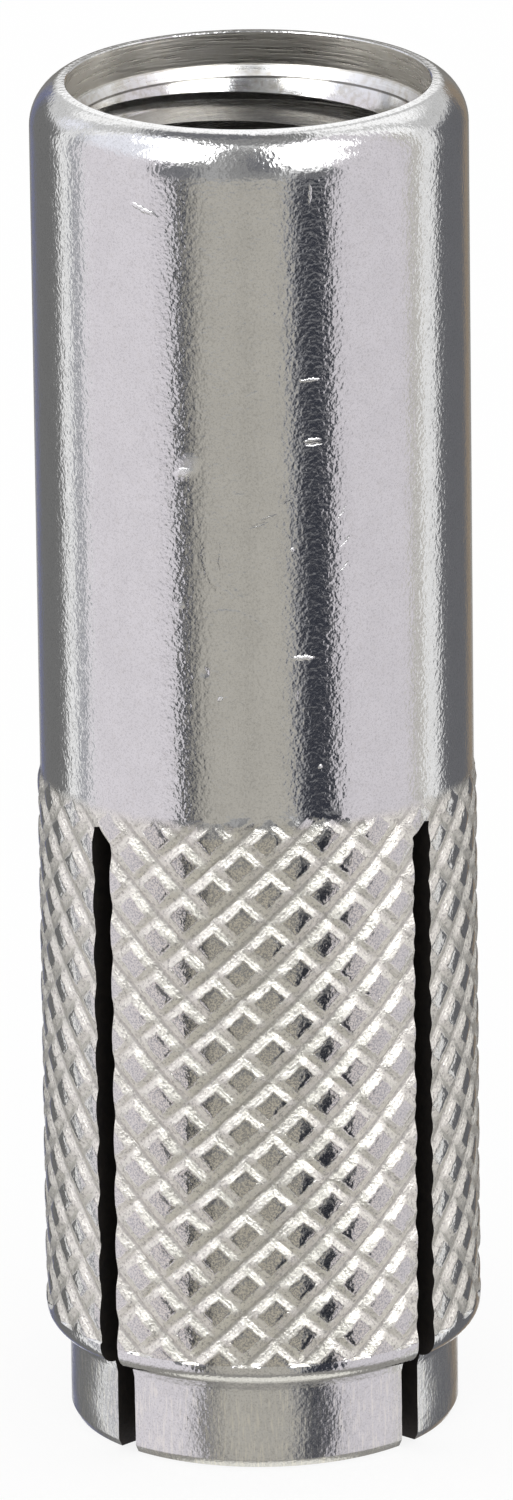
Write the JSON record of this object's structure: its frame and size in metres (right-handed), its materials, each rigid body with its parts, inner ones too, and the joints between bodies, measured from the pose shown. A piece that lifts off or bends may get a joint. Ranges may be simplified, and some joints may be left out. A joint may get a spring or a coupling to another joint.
{
  "type": "drop-in anchor",
  "caption": "Knurled steel drop-in anchor: internally threaded shell with a slotted expansion end and a loose expander plug inside",
  "frame": {"origin": "centre of the nose face, on which the anchor stands", "axes": "+Z along the anchor's axis, from the nose to the threaded mouth; -Y is the side that the picture shows"},
  "size_m": [0.016, 0.016, 0.0508],
  "materials": {
    "zinc_shell": "bright zinc plating over turned and rolled steel, satin with a fine grain",
    "plain_steel_plug": "plain cut steel, dull"
  },
  "bodies": {
    "shell": {"anchor_shell": "zinc_shell"},
    "plug": {"expander_plug": "plain_steel_plug"}
  },
  "joints": [
    {"name": "plug_drive", "type": "slide", "parent": "shell", "child": "plug", "axis": [0, 0, -1], "range_m": [0, 0.0033]}
  ]
}
